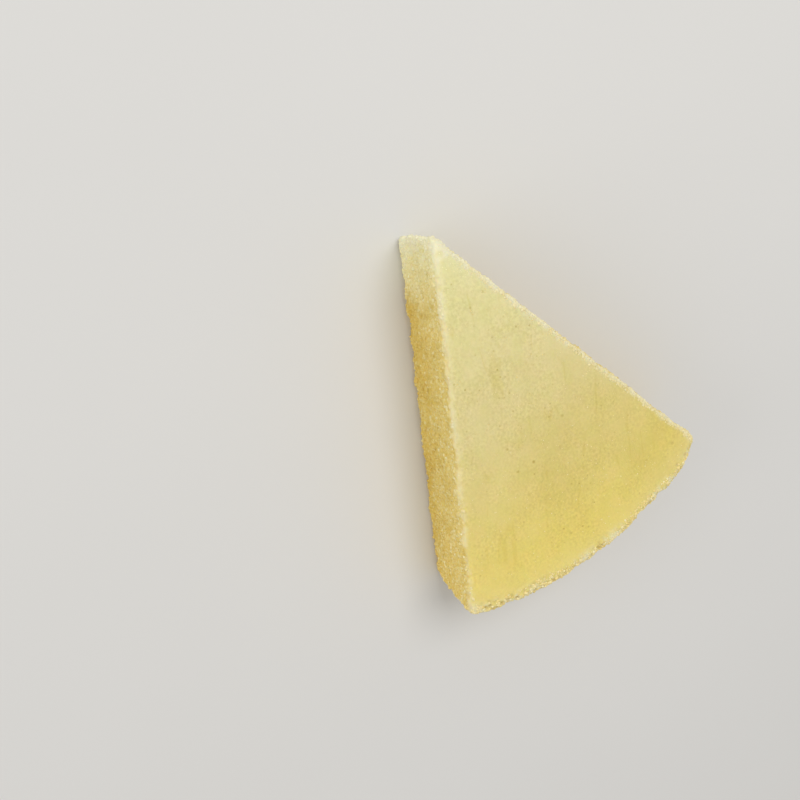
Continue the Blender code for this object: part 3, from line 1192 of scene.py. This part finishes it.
# Round soft lights, and the direction that each shines from.
SoftLight = namedtuple("SoftLight", "name direction distance width tint")
OVERHEAD_LIGHT = SoftLight("overhead_light", (-0.35, 0.30, 0.88), 0.9, 0.55, (1.0, 0.995, 0.985))
SIDE_LIGHT = SoftLight("side_light", (-0.45, -0.85, 0.25), 0.9, 0.7, (1.0, 0.99, 0.975))
ROOM_COLOUR = (1.0, 0.995, 0.98, 1.0)


def add_area_light(kind, power):
    light = bpy.data.lights.new(kind.name, "AREA")
    light.shape = "DISK"
    light.size = kind.width
    light.energy = power
    light.color = kind.tint
    obj = add_object(kind.name, light)
    toward = Vector(kind.direction).normalized()
    obj.location = toward * kind.distance
    obj.rotation_euler = (-toward).to_track_quat("-Z", "Y").to_euler()


def add_room_light():
    world = bpy.data.worlds.new("soft_room")
    world.use_nodes = True
    background = world.node_tree.nodes["Background"]
    background.inputs["Color"].default_value = ROOM_COLOUR
    background.inputs["Strength"].default_value = table_settings().sky_strength
    bpy.context.scene.world = world


SENSOR_WIDTH = 36.0
NEAREST_SIGHT = 0.005


def add_camera():
    stage = table_settings()
    camera = bpy.data.cameras.new("view_from_above")
    camera.lens = stage.lens
    camera.sensor_width = SENSOR_WIDTH
    camera.clip_start = NEAREST_SIGHT
    obj = add_object("view_from_above", camera)
    place = Vector(stage.camera_place)
    sight = (Vector(stage.camera_aim) - place).normalized()
    upright = sight.to_track_quat("-Z", "Y").to_matrix().to_4x4()
    roll = Matrix.Rotation(stage.camera_roll, 4, sight)
    obj.matrix_world = Matrix.Translation(place) @ roll @ upright
    bpy.context.scene.camera = obj


class MILLET_OT_slice(bpy.types.Operator):
    """Add the slice's body with its crumb and skin"""

    bl_idname = "millet_cake.add_slice"
    bl_label = "Slice"

    def execute(self, context):
        slice_piece()
        return {"FINISHED"}


class MILLET_OT_side_grains(bpy.types.Operator):
    """Add the grains that stand out of the cuts and the outer side"""

    bl_idname = "millet_cake.add_side_grains"
    bl_label = "Grains on the sides"

    def execute(self, context):
        side_grain_piece()
        return {"FINISHED"}


class MILLET_OT_rim_crumbs(bpy.types.Operator):
    """Add the crumbs along the outer rim and the rims of the cuts, pale with wear and painted
    highlight
    """

    bl_idname = "millet_cake.add_rim_crumbs"
    bl_label = "Crumbs on the rims"

    def execute(self, context):
        rim_crumb_piece()
        return {"FINISHED"}


class MILLET_OT_skin_grains(bpy.types.Operator):
    """Add the tiny grains on the top skin and its rims"""

    bl_idname = "millet_cake.add_skin_grains"
    bl_label = "Grains on the top"

    def execute(self, context):
        skin_grain_piece()
        return {"FINISHED"}


class MILLET_OT_stage(bpy.types.Operator):
    """Add the table, the lights and the camera"""

    bl_idname = "millet_cake.add_stage"
    bl_label = "Table, lights and camera"

    def execute(self, context):
        stage = table_settings()
        add_table()
        add_area_light(OVERHEAD_LIGHT, stage.key_power)
        add_area_light(SIDE_LIGHT, stage.fill_power)
        add_room_light()
        add_camera()
        context.scene.view_settings.view_transform = "Standard"
        return {"FINISHED"}


class MILLET_PT_panel(bpy.types.Panel):
    bl_label = "Millet Cake Slice"
    bl_idname = "MILLET_PT_panel"
    bl_space_type = "VIEW_3D"
    bl_region_type = "UI"
    bl_category = "Millet Cake"

    def draw(self, context):
        layout = self.layout
        for group in (sizes(), colours(), table_settings()):
            box = layout.box()
            for name in group.__annotations__:
                box.prop(group, name)
        for operator in OPERATORS:
            layout.operator(operator.bl_idname)


OPERATORS = (
    MILLET_OT_slice,
    MILLET_OT_side_grains,
    MILLET_OT_rim_crumbs,
    MILLET_OT_skin_grains,
    MILLET_OT_stage,
)
CLASSES = (CrumbSizes, CrumbColours, TableSettings, *OPERATORS, MILLET_PT_panel)


def register():
    for item in CLASSES:
        bpy.utils.register_class(item)
    bpy.types.Scene.millet_crumb_sizes = PointerProperty(type=CrumbSizes)
    bpy.types.Scene.millet_crumb_colours = PointerProperty(type=CrumbColours)
    bpy.types.Scene.millet_table_settings = PointerProperty(type=TableSettings)


def unregister():
    del bpy.types.Scene.millet_table_settings
    del bpy.types.Scene.millet_crumb_colours
    del bpy.types.Scene.millet_crumb_sizes
    for item in reversed(CLASSES):
        bpy.utils.unregister_class(item)


def main():
    register()
    bpy.ops.millet_cake.add_slice()
    bpy.ops.millet_cake.add_side_grains()
    bpy.ops.millet_cake.add_rim_crumbs()
    bpy.ops.millet_cake.add_skin_grains()
    bpy.ops.millet_cake.add_stage()


if __name__ == "__main__":
    main()
